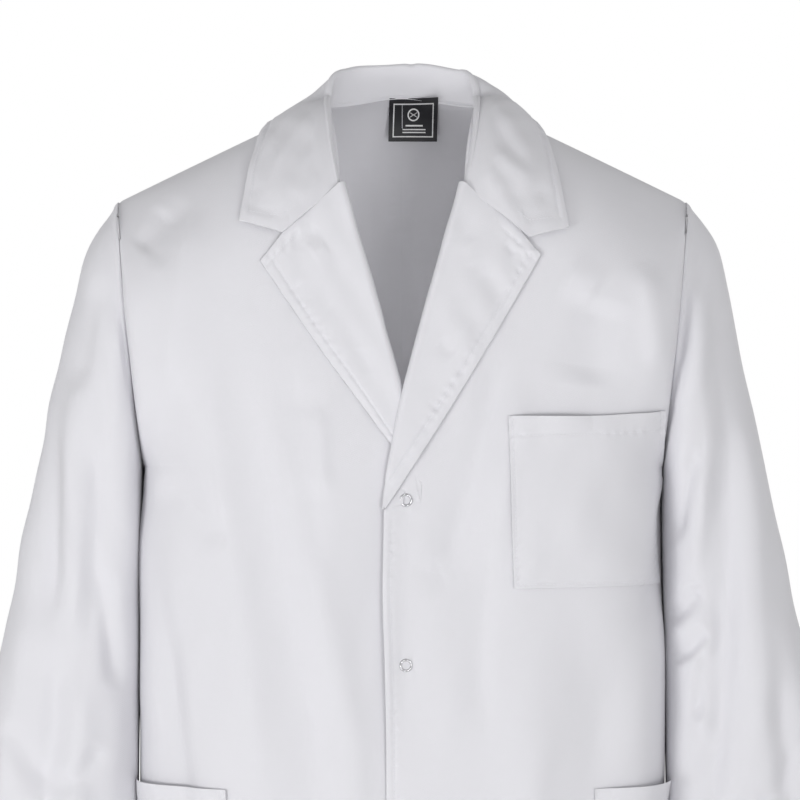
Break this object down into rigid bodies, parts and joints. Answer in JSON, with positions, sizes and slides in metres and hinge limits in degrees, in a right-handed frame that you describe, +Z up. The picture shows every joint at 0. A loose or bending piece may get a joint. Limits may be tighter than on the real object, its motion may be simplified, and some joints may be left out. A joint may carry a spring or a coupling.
{
  "type": "lab coat",
  "caption": "Long-sleeved white coat with a notched collar, patch pockets and a snap front, shaped as worn.",
  "frame": {"origin": "on the centreline at the height of the back neck seam, the seat on a hanger or on the wearer's shoulders", "axes": "+Z up, -Y out of the front, +X towards the wearer's left arm"},
  "size_m": [0.802, 0.2776, 1.0901],
  "materials": {
    "cloth": "matt fine twill",
    "interlining": "matt non-woven",
    "label": "woven satin",
    "steel": "nickel plated"
  },
  "bodies": {
    "coat": {"left_front_side": "cloth", "right_front_side": "cloth", "left_lapel": "cloth", "right_lapel": "cloth", "left_back": "cloth", "right_back": "cloth", "back_vent_underlap": "cloth", "upper_collar": "cloth", "under_collar": "cloth", "collar_interlining": "interlining", "neck_tape": "cloth", "neck_label": "label", "chest_pocket": "cloth", "chest_pocket_mouth_hem": "cloth", "left_lower_pocket": "cloth", "right_lower_pocket": "cloth", "left_pocket_mouth_hem": "cloth", "right_pocket_mouth_hem": "cloth", "left_front_hem": "cloth", "right_front_hem": "cloth", "left_back_hem": "cloth", "right_back_hem": "cloth"},
    "left_front": {"left_front_edge": "cloth", "left_edge_interlining": "interlining", "left_front_facing": "cloth", "snap_cap_rings": "steel", "snap_sockets": "steel"},
    "right_front": {"right_front_edge": "cloth", "right_edge_interlining": "interlining", "right_front_facing": "cloth", "snap_studs": "steel", "snap_stud_rings": "steel"},
    "left_arm": {"left_sleeve": "cloth", "left_sleeve_hem": "cloth"},
    "right_arm": {"right_sleeve": "cloth", "right_sleeve_hem": "cloth"}
  },
  "joints": [
    {"name": "left_front_opening", "type": "hinge", "parent": "coat", "child": "left_front", "pos_m": [0.09, -0.126, -0.69], "axis": [0, 0, 1], "range_deg": [0, 50]},
    {"name": "right_front_opening", "type": "hinge", "parent": "coat", "child": "right_front", "pos_m": [-0.09, -0.126, -0.69], "axis": [0, 0, -1], "range_deg": [0, 30]},
    {"name": "left_sleeve_swing", "type": "hinge", "parent": "coat", "child": "left_arm", "pos_m": [0.248, 0, -0.087], "axis": [0, -1, 0], "range_deg": [0, 25]},
    {"name": "right_sleeve_swing", "type": "hinge", "parent": "coat", "child": "right_arm", "pos_m": [-0.248, 0, -0.087], "axis": [0, 1, 0], "range_deg": [0, 25]}
  ],
  "couplings": [
    {"joint": "right_front_opening", "follows": "left_front_opening", "ratio": 0.6}
  ]
}
